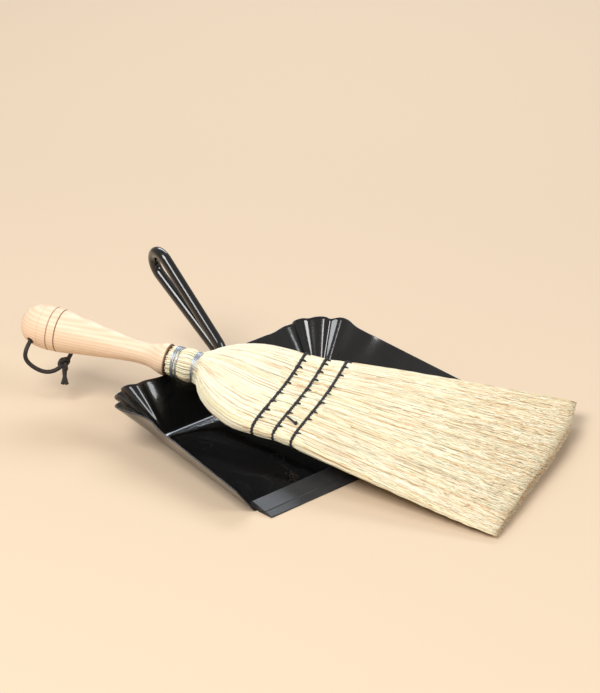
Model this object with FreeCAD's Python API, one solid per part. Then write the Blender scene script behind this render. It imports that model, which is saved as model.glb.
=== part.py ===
import FreeCAD, Part
import math
import os

# Dust pan and hand broom set, in millimetres.
# +Z is up, X runs along the pan's lip, +Y points to the pan's rear wall and handle.
# The origin is on the pan's flat underside, in the middle of its width.
# The broom lies across the pan: its wooden handle rests over the rear wall and the tips of the
# straw reach past the lip to the ground.

V = FreeCAD.Vector
os.makedirs("parts", exist_ok=True)

# ---- pan -----------------------------------------------------------------
SHEET = 0.8                 # steel sheet thickness
REAR_FOOT_Y = 61.2          # inner foot of the rear wall
REAR_FOOT_HALF = 85.8       # half width of the floor there, before its corner is rounded
FRONT_Y = -78.5             # front edge of the flat floor
FRONT_HALF = 113.3          # half width of the floor there
FOOT_RADIUS = 17.0          # floor corner radius
REAR_TOP_Y = 86.9           # top of the rear wall
REAR_TOP_Z = 35.4
SIDE_TOP = (115.6, 42.2, 35.6)     # rear end of a side wall's straight top edge
SIDE_KINK = (127.2, -75.1, 19.4)   # front end of the same edge
# plan of the fluted rim corner, from the side wall's straight edge to the rear wall's
RIM_CORNER = [(115.6, 42.2), (116.6, 49.0), (119.2, 57.0), (121.0, 64.5), (119.6, 69.8),
              (115.2, 71.6), (111.4, 73.4), (111.4, 78.2), (108.4, 82.8), (103.2, 85.2),
              (99.2, 86.4), (96.4, 89.6), (92.0, 91.2), (87.2, 90.6), (83.4, 88.4),
              (79.6, 88.4), (74.8, 89.0), (68.4, 88.0), (62.0, 86.9)]
FLUTE_RISE = 1.0            # extra height of the rim over the corners
LIP_HALF = 111.8
LIP_FRONT_Y = -95.0
LIP_REAR_Y = -72.2
LIP_TOP_Z = 6.2

# ---- pan handle ------------------------------------------------------------
ROD = 9.3
LOOP_X = 11.2               # the loop stands a little off the middle
LEG_GAP = 9.4               # distance of the two legs where they run one on the other
LOOP_RADIUS = 12.5          # centreline radius of the loop's round end
LOOP_LENGTH = 81.0          # from the bend over the rim to the centre of that round end
LOOP_TILT = 37.3            # degrees above the horizontal
LOOP_ROLL = 105.0           # degrees the loop is turned from lying flat to standing on edge
BEND_UP = 7.7               # how far up the wall line the upper leg bends away

# ---- broom placement ---------------------------------------------------------
NECK = V(-43.0, 59.9, 46.5)        # centre of the neck wire
HANDLE_HEADING = 24.3              # degrees from -Y towards +X
HANDLE_PITCH = 5.8                 # degrees nose down
HANDLE_LENGTH = 147.8              # from the knob to the neck wire
HEAD_HEADING = 26.0
HEAD_PITCH = 7.8
HEAD_ROLL = 3.1

# ---- broom dimensions ----------------------------------------------------------
KNOB_PROFILE = [(-3.3, 0.0), (-2.2, 7.2), (1.1, 12.3), (7.3, 15.7), (15.0, 17.3), (24.0, 17.5),
                (33.0, 16.8), (45.0, 15.0), (59.0, 13.1), (76.0, 10.8), (91.0, 9.2), (101.0, 8.8),
                (108.5, 9.6), (114.5, 11.6), (119.0, 12.8), (122.0, 12.6)]
BEAD_END = 122.6
TENON_RADIUS = 7.0
TENON_END = 172.0
GROOVES = [15.5, 23.6, 30.4]
GROOVE_WIRE = 0.45
HOLE_S = 9.8
HOLE_DIAMETER = 6.4
HOLE_DOWN = 20.0            # degrees the hole drops towards the near side
HOLE_OFFSET = (1.0, -2.6)   # how far it misses the handle's axis
THONG = 3.4
HEAD_LENGTH = 278.0
# distance from the neck, half width, sideways shift, half thickness
HEAD = [(2.6, 14.0, 0.0, 11.5), (8.0, 28.0, 0.0, 12.6), (20.0, 44.0, -0.5, 13.6),
        (36.0, 54.5, -1.0, 13.6), (55.0, 60.0, -2.5, 12.4), (70.0, 61.5, -2.5, 11.2),
        (86.0, 62.5, -1.5, 10.4), (101.0, 66.0, 0.0, 10.0), (140.0, 76.0, 0.0, 9.4),
        (190.0, 87.5, 0.0, 8.2), (235.0, 98.0, 0.0, 6.8), (HEAD_LENGTH, 106.0, -0.5, 5.8)]
ROUNDNESS = 2.6             # exponent of the head's rounded section
MIDDLE_SHARE = 0.5          # share of the thickness taken by the middle layer
MIDDLE_INSET = 3.0
ROWS = [68.5, 84.7, 100.4]  # stitching rows
ROW_SKEW = -0.027
TWINE = 2.2
STITCHES = 9


def export(node, shape):
    # one node per file, with its volume printed
    shape.exportStep("parts/%s.step" % node)
    print("%-16s solids %2d  volume %9.1f mm3  valid %s"
          % (node, len(shape.Solids), shape.Volume, shape.isValid()))


def place(shape, origin, x_axis, y_axis, z_axis):
    # moves a shape drawn in local axes to its place in the set
    matrix = FreeCAD.Matrix(x_axis.x, y_axis.x, z_axis.x, origin.x,
                            x_axis.y, y_axis.y, z_axis.y, origin.y,
                            x_axis.z, y_axis.z, z_axis.z, origin.z,
                            0, 0, 0, 1)
    moved = shape.copy()
    moved.Placement = FreeCAD.Placement(matrix).multiply(moved.Placement)
    return moved


def axes(heading, pitch, roll=0.0):
    # forward, sideways and upward directions of a part lying along a heading
    h = math.radians(heading)
    p = math.radians(pitch)
    forward = V(math.sin(h) * math.cos(p), -math.cos(h) * math.cos(p), -math.sin(p))
    level = V(math.cos(h), math.sin(h), 0)
    upright = forward.cross(level)
    r = math.radians(roll)
    side = level * math.cos(r) + upright * math.sin(r)
    return forward, side, forward.cross(side)


def tube(wire, start, direction, diameter):
    # round bar or cord along a path
    section = Part.Wire([Part.makeCircle(diameter / 2, start, direction)])
    shell = wire.makePipeShell([section], True, False)
    return shell if shell.ShapeType == "Solid" else Part.makeSolid(shell)


def rounded_path(points, radii=None):
    # straight runs joined by tangent arcs; returns the wire and the arc radii used
    edges = []
    used = []
    here = points[0]
    for i in range(1, len(points) - 1):
        corner = points[i]
        back = points[i - 1] - corner
        ahead = points[i + 1] - corner
        half_turn = (math.pi - back.getAngle(ahead)) / 2
        if radii:
            radius = radii[i - 1]
        else:
            radius = 0.45 * min(back.Length, ahead.Length) / math.tan(half_turn)
        used.append(radius)
        reach = radius * math.tan(half_turn)
        back.normalize()
        ahead.normalize()
        start = corner + back * reach
        end = corner + ahead * reach
        bisector = back + ahead
        bisector.normalize()
        middle = corner + bisector * (radius / math.cos(half_turn) - radius)
        edges.append(Part.LineSegment(here, start).toShape())
        edges.append(Part.Arc(start, middle, end).toShape())
        here = end
    edges.append(Part.LineSegment(here, points[-1]).toShape())
    return Part.Wire(edges), used


def prism(points, half_width):
    # a profile in the YZ plane, extruded along X on both sides of the middle
    face = Part.Face(Part.makePolygon([V(-half_width, y, z) for y, z in points + points[:1]]))
    return face.extrude(V(2 * half_width, 0, 0))


# ==== pan shell ===================================================================
def corner_point(t, side_point, side_dir, rear_point, radius):
    # point on a corner that rounds from a side line into the rear line; t runs from 0 to 1
    turn = math.acos(-side_dir[0])
    reach = radius * math.tan(turn / 2)
    meet = (side_point[0] + side_dir[0] * (rear_point - side_point[1]) / side_dir[1], rear_point)
    start = (meet[0] - side_dir[0] * reach, meet[1] - side_dir[1] * reach)
    centre = (start[0] - side_dir[1] * radius, start[1] + side_dir[0] * radius)
    angle0 = math.atan2(start[1] - centre[1], start[0] - centre[0])
    angle = angle0 + t * (math.pi / 2 - angle0)
    return centre[0] + radius * math.cos(angle), centre[1] + radius * math.sin(angle)


def unit(dx, dy):
    length = math.hypot(dx, dy)
    return dx / length, dy / length


foot_side = unit(REAR_FOOT_HALF - FRONT_HALF, REAR_FOOT_Y - FRONT_Y)
SIDE_STEPS = 6
REAR_STEPS = 8


def half_lines():
    # foot and rim points of the right half, from the front end to the middle of the rear wall
    foot = []
    rim = []
    front = (FRONT_HALF, FRONT_Y)
    fx0, fy0 = corner_point(0, front, foot_side, REAR_FOOT_Y, FOOT_RADIUS)
    kink = V(*SIDE_KINK)
    top = V(*SIDE_TOP)
    for i in range(SIDE_STEPS):
        t = i / SIDE_STEPS
        foot.append(V(FRONT_HALF + (fx0 - FRONT_HALF) * t, FRONT_Y + (fy0 - FRONT_Y) * t, 0))
        rim.append(kink + (top - kink) * t)
    lengths = [math.dist(a, b) for a, b in zip(RIM_CORNER, RIM_CORNER[1:])]
    for i, (x, y) in enumerate(RIM_CORNER):
        t = sum(lengths[:i]) / sum(lengths)
        fx, fy = corner_point(t, front, foot_side, REAR_FOOT_Y, FOOT_RADIUS)
        foot.append(V(fx, fy, 0))
        rise = FLUTE_RISE * math.sin(math.pi * t) + (REAR_TOP_Z - SIDE_TOP[2]) * t
        rim.append(V(x, y, SIDE_TOP[2] + rise))
    fx1 = foot[-1].x
    rx1 = rim[-1].x
    for i in range(1, REAR_STEPS + 1):
        t = i / REAR_STEPS
        foot.append(V(fx1 * (1 - t), REAR_FOOT_Y, 0))
        rim.append(V(rx1 * (1 - t), REAR_TOP_Y, REAR_TOP_Z))
    return foot, rim


def whole(points):
    return points + [V(-p.x, p.y, p.z) for p in reversed(points[:-1])]


def shared_steps(a, b):
    # one row of parameters for two lines, from the mean of their lengths so far
    result = [0.0]
    for i in range(1, len(a)):
        mean = ((a[i] - a[i - 1]).Length + (b[i] - b[i - 1]).Length) / 2
        result.append(result[-1] + mean)
    return result


def curves(points, steps):
    # a smooth line through the points, cut where the walls turn into the fluted corners
    spline = Part.BSplineCurve()
    spline.interpolate(Points=points, Parameters=steps)
    turn = SIDE_STEPS + len(RIM_CORNER) - 1
    last = len(points) - 1
    cuts = [0, SIDE_STEPS, SIDE_STEPS + 9, turn, last - turn, last - SIDE_STEPS - 9,
            last - SIDE_STEPS, last]
    pieces = []
    for a, b in zip(cuts, cuts[1:]):
        piece = spline.copy()
        piece.segment(steps[a], steps[b])
        pieces.append(piece)
    return pieces


def ruled(a, b):
    # the straight-lined surface between two curves that share their parameters
    surface = Part.BSplineSurface()
    surface.buildFromPolesMultsKnots([list(p) for p in zip(a.getPoles(), b.getPoles())],
                                     a.getMultiplicities(), [2, 2], a.getKnots(), [0.0, 1.0],
                                     False, False, a.Degree, 1)
    return surface.toShape()


def outward(points):
    # horizontal outward direction at each point of a plan curve
    result = []
    for i, p in enumerate(points):
        step = points[min(i + 1, len(points) - 1)] - points[max(i - 1, 0)]
        side = V(step.y, -step.x, 0)
        side.normalize()
        result.append(side)
    return result


half_foot, half_rim = half_lines()
inner_foot = whole(half_foot)
inner_rim = whole(half_rim)
out_foot = outward(inner_foot)
out_rim = outward(inner_rim)
slopes = [rim - foot for foot, rim in zip(inner_foot, inner_rim)]
outer_foot = []
outer_rim = []
for foot, rim, low_out, high_out, slope in zip(inner_foot, inner_rim, out_foot, out_rim, slopes):
    lean = math.atan2(slope.dot(low_out), slope.z)
    shift = SHEET * (1 - math.sin(lean)) / math.cos(lean)
    outer_foot.append(foot + low_out * shift)
    lean = math.atan2(slope.dot(high_out), slope.z)
    outer_rim.append(rim + high_out * (SHEET * math.cos(lean)) - V(0, 0, SHEET * math.sin(lean)))
inner_foot = [p + V(0, 0, SHEET) for p in inner_foot]
# both foot curves start and end on the floor's front edge, both rims on the slanted wall ends
steps = shared_steps(inner_foot, inner_rim)
c_in_foot = curves(inner_foot, steps)
c_in_rim = curves(inner_rim, steps)
c_out_foot = curves(outer_foot, steps)
c_out_rim = curves(outer_rim, steps)


def quad(a, b, c, d):
    # four-sided patch with straight edges
    surface = Part.BSplineSurface()
    surface.buildFromPolesMultsKnots([[a, d], [b, c]], [2, 2], [2, 2], [0.0, 1.0], [0.0, 1.0],
                                     False, False, 1, 1)
    return surface.toShape()


def flat(pieces, front_a, front_b):
    edges = [piece.toShape() for piece in pieces]
    return Part.Face(Part.Wire(edges + [Part.LineSegment(front_a, front_b).toShape()]))


faces = [flat(c_in_foot, inner_foot[-1], inner_foot[0]),
         flat(c_out_foot, outer_foot[-1], outer_foot[0])]
for a, b in ((c_in_foot, c_in_rim), (c_out_foot, c_out_rim), (c_in_rim, c_out_rim)):
    faces += [ruled(low, high) for low, high in zip(a, b)]
for k in (0, -1):
    faces.append(quad(inner_foot[k], inner_rim[k], outer_rim[k], outer_foot[k]))
faces.append(Part.Face(Part.makePolygon([inner_foot[0], outer_foot[0], outer_foot[-1],
                                         inner_foot[-1], inner_foot[0]])))
shell = Part.makeShell(faces)
shell.sewShape()
tray = Part.makeSolid(shell if shell.ShapeType == "Shell" else shell.Shells[0])
if tray.Volume < 0:
    tray.reverse()

# the floor's front edge steps up into the lip strip
STEP_UP = 1.2
STRIP_END_Y = -87.0
strip_half = LIP_HALF - 1.3
step_profile = [(FRONT_Y + 2.0, 0.0), (FRONT_Y - 0.6, 0.0), (FRONT_Y - 2.6, STEP_UP),
                (STRIP_END_Y, STEP_UP), (STRIP_END_Y, STEP_UP + SHEET),
                (FRONT_Y - 2.4, STEP_UP + SHEET),
                (FRONT_Y - 0.4, SHEET), (FRONT_Y + 2.0, SHEET)]
print("tray valid", tray.isValid(), "volume", round(tray.Volume))
pan_shell = tray.fuse(prism(step_profile, strip_half))
export("pan_shell", pan_shell)

# ==== lip strip =====================================================================
GAP = 0.05
BULB = 2.5
bulb_y = LIP_REAR_Y - BULB
bulb_z = LIP_TOP_Z - BULB
nose = 1.2
shoulder_y = bulb_y - BULB * math.sin(math.radians(14))
shoulder_z = bulb_z + BULB * math.cos(math.radians(14))


def yz(y, z):
    return V(-LIP_HALF, y, z)


def seg(a, b):
    return Part.LineSegment(yz(*a), yz(*b)).toShape()


nose_top = (LIP_FRONT_Y + 0.35, nose)
groove_a = (LIP_FRONT_Y + 6.2, nose + 1.62)
groove_m = (LIP_FRONT_Y + 6.7, nose + 1.15)
groove_b = (LIP_FRONT_Y + 7.3, nose + 1.9)
low = math.radians(-52)
bulb_low = (bulb_y + BULB * math.cos(low), bulb_z + BULB * math.sin(low))
bulb_back = (bulb_y + BULB * math.cos(math.radians(20)), bulb_z + BULB * math.sin(math.radians(20)))
notch = (bulb_y + 0.4, SHEET + 0.9)
lip_edges = [
    seg((LIP_FRONT_Y + 0.5, 0.0), (FRONT_Y - 2.0, 0.0)),
    seg((FRONT_Y - 2.0, 0.0), (FRONT_Y - 2.0, SHEET + GAP)),
    seg((FRONT_Y - 2.0, SHEET + GAP), (bulb_y + 0.6, SHEET + GAP)),
    seg((bulb_y + 0.6, SHEET + GAP), notch),
    seg(notch, bulb_low),
    Part.Arc(yz(*bulb_low), yz(*bulb_back), yz(shoulder_y, shoulder_z)).toShape(),
    seg((shoulder_y, shoulder_z), groove_b),
    seg(groove_b, groove_m),
    seg(groove_m, groove_a),
    seg(groove_a, nose_top),
    Part.Arc(yz(*nose_top), yz(LIP_FRONT_Y, nose * 0.5), yz(LIP_FRONT_Y + 0.5, 0.0)).toShape(),
]
lip = Part.Face(Part.Wire(lip_edges)).extrude(V(2 * LIP_HALF, 0, 0))
slot = [(FRONT_Y + 1.0, -GAP), (FRONT_Y - 0.6 - GAP, -GAP), (FRONT_Y - 2.6 - GAP, STEP_UP - GAP),
        (STRIP_END_Y - GAP, STEP_UP - GAP), (STRIP_END_Y - GAP, STEP_UP + SHEET + GAP),
        (FRONT_Y - 2.4 + GAP, STEP_UP + SHEET + GAP), (FRONT_Y - 0.4 + GAP, SHEET + GAP),
        (FRONT_Y + 1.0, SHEET + GAP)]
lip_strip = lip.cut(prism(slot, LIP_HALF + 1.0))
export("lip_strip", lip_strip)

# ==== handle loop =====================================================================
wall_lean = math.atan2(REAR_TOP_Y - REAR_FOOT_Y, REAR_TOP_Z)
wall_up = V(0, math.sin(wall_lean), math.cos(wall_lean))
wall_out = V(0, math.cos(wall_lean), -math.sin(wall_lean))
tilt = math.radians(LOOP_TILT)
roll = math.radians(LOOP_ROLL)
loop_dir = V(0, math.cos(tilt), math.sin(tilt))
# across the loop, from its lower leg to its upper leg
across = V(math.cos(roll), -math.sin(tilt) * math.sin(roll), math.cos(tilt) * math.sin(roll))
sideways = LEG_GAP / 2 * math.cos(roll)
leg_clear = SHEET + ROD / 2 + 0.05
on_wall = V(LOOP_X, REAR_TOP_Y, REAR_TOP_Z) + wall_out * leg_clear
upper_knee = on_wall + wall_up * BEND_UP + V(sideways, 0, 0)
# the bends lie one inside the other, along the line that halves the turn
half_turn = (math.pi / 2 - wall_lean - tilt) / 2
halving = wall_up + loop_dir
halving.normalize()
nest = V(0, halving.z, -halving.y) * (LEG_GAP * math.sin(roll) / math.cos(half_turn))
lower_knee = upper_knee + nest - V(2 * sideways, 0, 0)
round_centre = (upper_knee + lower_knee) * 0.5 + loop_dir * LOOP_LENGTH
opening = math.asin((LOOP_RADIUS - LEG_GAP / 2) / LOOP_LENGTH)


def leg(knee, side, down, radius):
    # from the end on the wall up to the touch point of the round end
    touch = round_centre + across * (side * LOOP_RADIUS * math.cos(opening)) \
        - loop_dir * (LOOP_RADIUS * math.sin(opening))
    foot = knee - wall_up * down
    wire, radii = rounded_path([foot, knee, touch], [radius])
    return wire, foot, touch


upper_leg, upper_foot, upper_touch = leg(upper_knee, 1, 33.0, 20.0)
lower_leg, lower_foot, lower_touch = leg(lower_knee, -1, 24.0, 10.0)
far_point = round_centre + loop_dir * LOOP_RADIUS
loop_arc = Part.Arc(upper_touch, far_point, lower_touch).toShape()
loop_path = Part.Wire(upper_leg.Edges + [loop_arc] + list(reversed(lower_leg.Edges)))
handle_loop = tube(loop_path, upper_foot, wall_up, ROD)
export("handle_loop", handle_loop)

# weld beads: two beside the upper leg on the wall's outer face, two in the valleys of the legs
BEAD = 1.2
BEAD_SINK = 0.3
beads = []
bead_reach = ROD / 2 + BEAD - BEAD_SINK
on_face = math.sqrt(bead_reach ** 2 - (leg_clear - SHEET - BEAD + 0.05) ** 2)
valley = math.sqrt(bead_reach ** 2 - (LEG_GAP / 2) ** 2)
pair = lower_foot - upper_foot
pair = pair - wall_up * pair.dot(wall_up)
pair_side = pair.cross(wall_up)
pair_side.normalize()
for s in (-1, 1):
    start = upper_foot + wall_up * 4.0 - wall_out * (leg_clear - SHEET - BEAD + 0.05) \
        + V(s * on_face, 0, 0)
    beads.append(Part.makeCylinder(BEAD, 18.0, start, wall_up))
    start = upper_foot + wall_up * 12.0 + pair * 0.5 + pair_side * (s * valley)
    beads.append(Part.makeCylinder(BEAD, 14.0, start, wall_up))
handle_welds = Part.makeCompound(beads)
export("handle_welds", handle_welds)

# ==== broom: wooden handle ================================================================
forward, level, upright = axes(HANDLE_HEADING, HANDLE_PITCH)
knob = NECK - forward * HANDLE_LENGTH


def on_handle(shape):
    return place(shape, knob, forward, level, upright)


def turned(outline_edges):
    # a turned piece: its outline in the XY plane revolved about the handle's axis
    return Part.Face(Part.Wire(outline_edges)).revolve(V(0, 0, 0), V(1, 0, 0), 360)


def line(a, b):
    return Part.LineSegment(V(a[0], a[1], 0), V(b[0], b[1], 0)).toShape()


profile = Part.BSplineCurve()
profile.interpolate([V(s, r, 0) for s, r in KNOB_PROFILE])
wood = turned([profile.toShape(), line(KNOB_PROFILE[-1], (BEAD_END, 11.9)),
               line((BEAD_END, 11.9), (BEAD_END, TENON_RADIUS)),
               line((BEAD_END, TENON_RADIUS), (TENON_END, TENON_RADIUS)),
               line((TENON_END, TENON_RADIUS), (TENON_END, 0)),
               line((TENON_END, 0), KNOB_PROFILE[0])])
for s in GROOVES:
    radius = profile.value(profile.parameter(V(s, 17.4, 0))).y
    wood = wood.cut(Part.makeTorus(radius + 0.1, GROOVE_WIRE, V(s, 0, 0), V(1, 0, 0)))
drop = math.radians(HOLE_DOWN)
hole_dir = V(0, -math.cos(drop), -math.sin(drop))
hole_mid = V(HOLE_S, HOLE_OFFSET[0], HOLE_OFFSET[1])
wood = wood.cut(Part.makeCylinder(HOLE_DIAMETER / 2, 60, hole_mid - hole_dir * 30, hole_dir))
export("wooden_handle", on_handle(wood))

# hanging thong: a free cord from one mouth of the hole to the other, through its knot
THONG_ROUTE = [(9.8, -8.9, -6.2), (9.8, -22.5, -11.1), (10.2, -22.2, -23.7), (27.0, -15.4, -33.1),
               (37.0, -2.3, -25.7), (33.0, 20.7, -17.6), (19.0, 30.4, -7.7), (9.8, 25.3, 6.2),
               (9.8, 12.3, 1.5)]
thong_points = [knob + forward * s + level * y + upright * z for s, y, z in THONG_ROUTE]
thong_wire, thong_radii = rounded_path(thong_points)
thong_dir = thong_points[1] - thong_points[0]
hanging_thong = tube(thong_wire, thong_points[0], thong_dir, THONG)
export("hanging_thong", hanging_thong)
print("thong length %.1f mm, section x length %.1f mm3" % (
    thong_wire.Length, thong_wire.Length * math.pi * THONG ** 2 / 4))
print("thong arc radii", [round(r, 1) for r in thong_radii])
print("thong route", [(round(p.x, 1), round(p.y, 1), round(p.z, 1)) for p in thong_points])

# the knot and its two cut tails
knot_centre = V(35.4, -4.4, -25.6)
knot = Part.makeSphere(4.9, knot_centre + V(0, 0, 1.6))
knot = knot.fuse(Part.makeSphere(4.6, knot_centre - V(0, 0, 1.8)))
for dx, dy in ((2.2, -5.6), (5.6, -4.6)):
    tip = knot_centre + V(dx, dy, -15.5)
    path = tip - knot_centre
    knot = knot.fuse(Part.makeCylinder(1.5, path.Length, knot_centre, path))
export("thong_knot", on_handle(knot))

# collar of straw round the tenon
collar_curve = Part.BSplineCurve()
collar_curve.interpolate([V(*p, 0) for p in ((122.9, 11.3), (127.0, 11.7), (131.0, 11.2),
                                             (136.0, 12.4), (140.5, 13.0), (144.0, 12.0),
                                             (146.0, 10.8))])
collar_end = 149.3
collar = turned([collar_curve.toShape(), line((146.0, 10.8), (collar_end, 10.8)),
                 line((collar_end, 10.8), (collar_end, TENON_RADIUS)),
                 line((collar_end, TENON_RADIUS), (122.9, TENON_RADIUS)),
                 line((122.9, TENON_RADIUS), (122.9, 11.3))])
export("collar_straw", on_handle(collar))


def wound_wire(positions, radius, wire):
    # a wound wire, one closed ring for each of its turns
    rings = [Part.makeTorus(radius, wire / 2, V(s, 0, 0), V(1, 0, 0)) for s in positions]
    return Part.makeCompound(rings)


WIRE = 1.1
TURN = 1.2
upper_wire = wound_wire([128.4, 128.4 + TURN, 132.2], 12.35, WIRE)
export("upper_wire", on_handle(upper_wire))
neck_wire = wound_wire([145.2 + TURN * k for k in range(4)], 11.85, WIRE)
export("neck_wire", on_handle(neck_wire))

# ==== broom: straw head ======================================================================
h_forward, h_side, h_up = axes(HEAD_HEADING, HEAD_PITCH, HEAD_ROLL)


def on_head(shape):
    return place(shape, NECK, h_forward, h_side, h_up)


def section(s, half_width, shift, half_thick):
    # rounded flat section of the head, across its length
    points = []
    for i in range(32):
        a = 2 * math.pi * i / 32 - math.pi / 2
        ca = math.cos(a)
        sa = math.sin(a)
        y = half_width * math.copysign(abs(ca) ** (2 / ROUNDNESS), ca)
        z = half_thick * math.copysign(abs(sa) ** (2 / ROUNDNESS), sa)
        points.append(V(s, shift + y, z))
    ring = Part.BSplineCurve()
    ring.interpolate(Points=points, PeriodicFlag=True)
    return Part.Wire([ring.toShape()])


def bundle(rows):
    return Part.makeLoft([section(*row) for row in rows], True, False)


def at(s):
    # half width, shift and half thickness of the head at a distance from the neck
    for a, b in zip(HEAD, HEAD[1:]):
        if s <= b[0]:
            t = (s - a[0]) / (b[0] - a[0])
            return [a[k] + (b[k] - a[k]) * t for k in (1, 2, 3)]
    return list(HEAD[-1][1:])


full = bundle(HEAD)
middle = bundle([(s, hw - min(MIDDLE_INSET, hw * 0.2), shift, ht * MIDDLE_SHARE)
                 for s, hw, shift, ht in HEAD])
# the handle's tenon stands in a hole along its own direction
tenon_dir = V(forward.dot(h_forward), forward.dot(h_side), forward.dot(h_up))
tenon_hole = Part.makeCylinder(TENON_RADIUS + 0.4, TENON_END - HANDLE_LENGTH + 6.0,
                               tenon_dir * -5.0, tenon_dir)
covers = full.cut(middle).cut(tenon_hole)
BIG = 400.0
above = Part.makeBox(BIG, BIG, BIG, V(-50, -BIG / 2, 0))
below = Part.makeBox(BIG, BIG, BIG, V(-50, -BIG / 2, -BIG))
cover_upper = covers.common(above)
cover_lower = covers.common(below)
wedge = Part.Face(Part.makePolygon([V(-10, -12, -40), V(300, -42, -40), V(300, 42, -40),
                                    V(-10, 12, -40), V(-10, -12, -40)])).extrude(V(0, 0, 80))
head_core = middle.common(wedge).cut(tenon_hole)
flanks = middle.cut(wedge)
near = Part.makeBox(BIG, BIG, BIG, V(-50, -BIG, -BIG / 2))
shoulder_near = flanks.common(near).cut(tenon_hole)
shoulder_far = flanks.cut(near).cut(tenon_hole)
for node, shape in (("cover_upper", cover_upper), ("cover_lower", cover_lower),
                    ("head_core", head_core), ("shoulder_near", shoulder_near),
                    ("shoulder_far", shoulder_far)):
    export(node, on_head(shape))


def row_point(s0, a, lift):
    # point of a stitching row round the head, lifted off the straw
    y0 = math.copysign(abs(math.cos(a)) ** (2 / ROUNDNESS), math.cos(a))
    z0 = math.copysign(abs(math.sin(a)) ** (2 / ROUNDNESS), math.sin(a))
    half_width, shift, half_thick = at(s0)
    y = shift + (half_width + lift) * y0
    return V(s0 + ROW_SKEW * y, y, (half_thick + lift) * z0)


LIFT = TWINE / 2 + 0.55
for number, s0 in enumerate(ROWS, 1):
    points = [row_point(s0, 2 * math.pi * (i + 0.5) / 32, LIFT) for i in range(32)]
    ring = Part.BSplineCurve()
    ring.interpolate(Points=points, PeriodicFlag=True)
    path = Part.Wire([ring.toShape()])
    start = ring.value(ring.FirstParameter)
    direction = ring.tangent(ring.FirstParameter)[0]
    export("stitch_twine_%d" % number, on_head(tube(path, start, direction, TWINE)))

# short lock stitches beside each row, above and below the head
locks = []
for s0 in ROWS:
    half_width, shift, half_thick = at(s0)
    for i in range(STITCHES):
        y = shift + half_width * 0.86 * (2 * i / (STITCHES - 1) - 1)
        for face in (1, -1):
            a = math.acos(abs((y - shift) / half_width) ** (ROUNDNESS / 2))
            z = (half_thick + LIFT) * math.sin(a) ** (2 / ROUNDNESS)
            start = V(s0 + ROW_SKEW * y + TWINE / 2 + 0.15, y, face * z)
            locks.append(Part.makeCylinder(0.8, 3.2, start, V(1, 0, 0)))
export("lock_stitches", on_head(Part.makeCompound(locks)))

# loose end of the middle row's twine, tied off in a small knot
tail_points = [V(87.6, -44.6, 11.1), V(92.0, -46.2, 11.9), V(96.6, -47.8, 11.3)]
tail_wire, tail_radii = rounded_path(tail_points)
tail = tube(tail_wire, tail_points[0], tail_points[1] - tail_points[0], 1.6)
tail = tail.fuse(Part.makeSphere(1.7, tail_points[2]))
export("twine_tail", on_head(tail))
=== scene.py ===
import math

import bpy
import numpy as np
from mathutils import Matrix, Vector


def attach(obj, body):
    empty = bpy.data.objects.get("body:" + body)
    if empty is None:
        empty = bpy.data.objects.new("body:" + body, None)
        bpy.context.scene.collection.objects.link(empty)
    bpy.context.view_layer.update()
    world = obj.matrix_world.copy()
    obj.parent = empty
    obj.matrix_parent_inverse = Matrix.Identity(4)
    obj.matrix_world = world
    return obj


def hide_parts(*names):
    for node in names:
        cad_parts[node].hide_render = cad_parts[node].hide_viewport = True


# Dust pan and hand broom set. Shapes are drawn in millimetres and stored in metres. The broom is
# drawn in axes of its own: along the handle or the head, sideways, and up.
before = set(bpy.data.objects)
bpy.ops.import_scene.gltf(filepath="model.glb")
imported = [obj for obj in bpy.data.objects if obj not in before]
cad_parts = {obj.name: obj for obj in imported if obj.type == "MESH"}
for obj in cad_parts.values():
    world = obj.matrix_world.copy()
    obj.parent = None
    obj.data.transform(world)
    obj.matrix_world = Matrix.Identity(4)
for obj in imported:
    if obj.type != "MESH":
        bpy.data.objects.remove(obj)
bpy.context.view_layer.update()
MM = 0.001
FULL_TURN = 2 * math.pi
rng = np.random.default_rng(11)

# ---- placement of the set, the same numbers as the CAD part, in millimetres and degrees ----
NECK = np.array([-43.0, 59.9, 46.5])
HANDLE_LENGTH = 147.8


def axes(heading, pitch, roll=0.0):
    """Forward, sideways and upward directions, as rows, of a part lying along a heading."""
    h, p, r = (math.radians(a) for a in (heading, pitch, roll))
    forward = np.array([math.sin(h) * math.cos(p), -math.cos(h) * math.cos(p), -math.sin(p)])
    level = np.array([math.cos(h), math.sin(h), 0.0])
    side = level * math.cos(r) + np.cross(forward, level) * math.sin(r)
    return np.stack([forward, side, np.cross(forward, side)])


HANDLE_AXES = axes(24.3, 5.8)
HEAD_AXES = axes(26.0, 7.8, 3.1)
KNOB = NECK - HANDLE_AXES[0] * HANDLE_LENGTH


def on_handle(points):
    return KNOB + np.asarray(points, float) @ HANDLE_AXES


def on_head(points):
    return NECK + np.asarray(points, float) @ HEAD_AXES


# ---- camera -------------------------------------------------------------------------------
CAMERA_AT = (-1.3286, -1.3957, 0.9435)
CAMERA_DOWN = 24.365        # degrees it looks below the horizontal
CAMERA_TURN = -43.745       # degrees about the vertical
camera = bpy.data.objects.new("camera", bpy.data.cameras.new("camera"))
bpy.context.scene.collection.objects.link(camera)
camera.location = CAMERA_AT
camera.rotation_euler = (math.radians(90 - CAMERA_DOWN), 0, math.radians(CAMERA_TURN))
camera.data.sensor_width = 36.0
camera.data.sensor_fit = "HORIZONTAL"
camera.data.lens = 166.3
camera.data.clip_end = 30.0
bpy.context.scene.camera = camera
bpy.context.scene.view_settings.view_transform = "Standard"


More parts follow.
